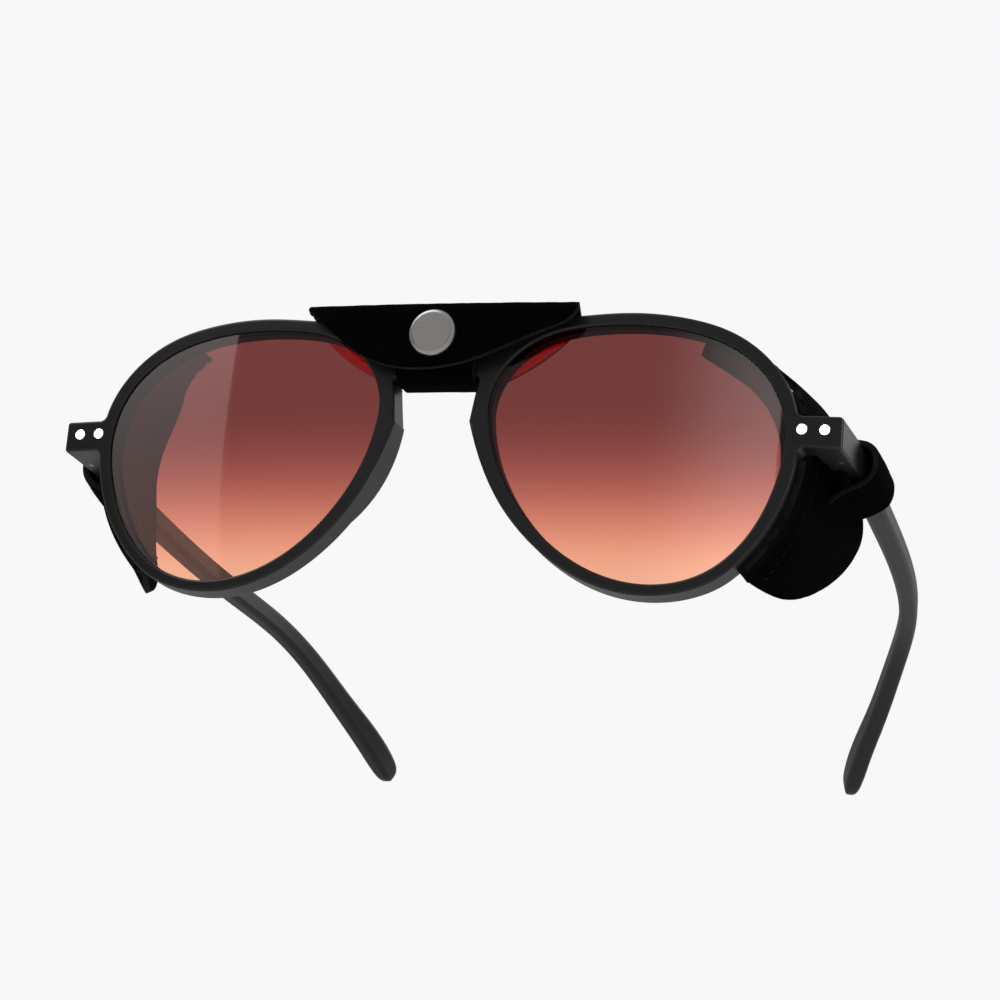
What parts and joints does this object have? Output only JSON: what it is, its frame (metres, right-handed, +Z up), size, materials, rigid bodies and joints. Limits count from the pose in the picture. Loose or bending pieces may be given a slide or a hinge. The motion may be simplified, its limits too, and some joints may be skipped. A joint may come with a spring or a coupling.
{
  "type": "glacier glasses",
  "caption": "Aviator mountain glasses with gradient lenses, folding temples, a leather nose cover closed by a press stud, and leather side shields.",
  "frame": {"origin": "middle of the nose gap, on the front surface of the rims, at the height of the rivets", "axes": "+X to the wearer's left across the front, +Y from the front back along the temples, +Z up"},
  "size_m": [0.153, 0.1445, 0.0593],
  "materials": {
    "frame_plastic": "black injection-moulded nylon, soft satin sheen",
    "temple_plastic": "black moulded temple plastic, satin",
    "lens": "brown-red gradient tint, darkest at the top",
    "rivet_metal": "bright flush rivets",
    "hinge_steel": "plain hinge steel",
    "leather_black": "black suede leather with grey cut edges",
    "leather_red": "bright red soft lining",
    "snap_metal": "nickel snap with a dull domed face",
    "thread": "black thread"
  },
  "bodies": {
    "front": {"front_frame": "frame_plastic", "lens_left": "lens", "front_rivets_left": "rivet_metal", "hinge_front_leaf_left": "hinge_steel", "hinge_screw_left": "hinge_steel", "hinge_anchor_pin_left": "rivet_metal", "side_shield_left": "leather_black", "shield_hem_left": "leather_black", "shield_binding_left": "leather_black", "shield_stitching_left": "thread", "lens_right": "lens", "front_rivets_right": "rivet_metal", "hinge_front_leaf_right": "hinge_steel", "hinge_screw_right": "hinge_steel", "hinge_anchor_pin_right": "rivet_metal", "side_shield_right": "leather_black", "shield_hem_right": "leather_black", "shield_binding_right": "leather_black", "shield_stitching_right": "thread", "nose_cover": "leather_black", "nose_lining": "leather_red", "nose_tab": "leather_black", "snap_stud": "snap_metal"},
    "temple_left": {"temple_left": "temple_plastic", "hinge_temple_leaf_left": "hinge_steel", "shield_loop_left": "leather_black"},
    "temple_right": {"temple_right": "temple_plastic", "hinge_temple_leaf_right": "hinge_steel", "shield_loop_right": "leather_black"},
    "nose_flap": {"nose_flap": "leather_black", "snap_cap": "snap_metal", "snap_socket": "snap_metal"}
  },
  "joints": [
    {"name": "left_temple_fold", "type": "hinge", "parent": "front", "child": "temple_left", "pos_m": [0.06875, 0.0186, 0], "axis": [0, 0, 1], "range_deg": [0, 86], "deforming": ["side_shield_left"]},
    {"name": "right_temple_fold", "type": "hinge", "parent": "front", "child": "temple_right", "pos_m": [-0.06875, 0.0186, 0], "axis": [0, 0, -1], "range_deg": [0, 81], "deforming": ["side_shield_right"]},
    {"name": "nose_flap_open", "type": "hinge", "parent": "front", "child": "nose_flap", "pos_m": [0, -0.00336, 0.02022], "axis": [-1, 0, 0], "range_deg": [0, 90]}
  ]
}
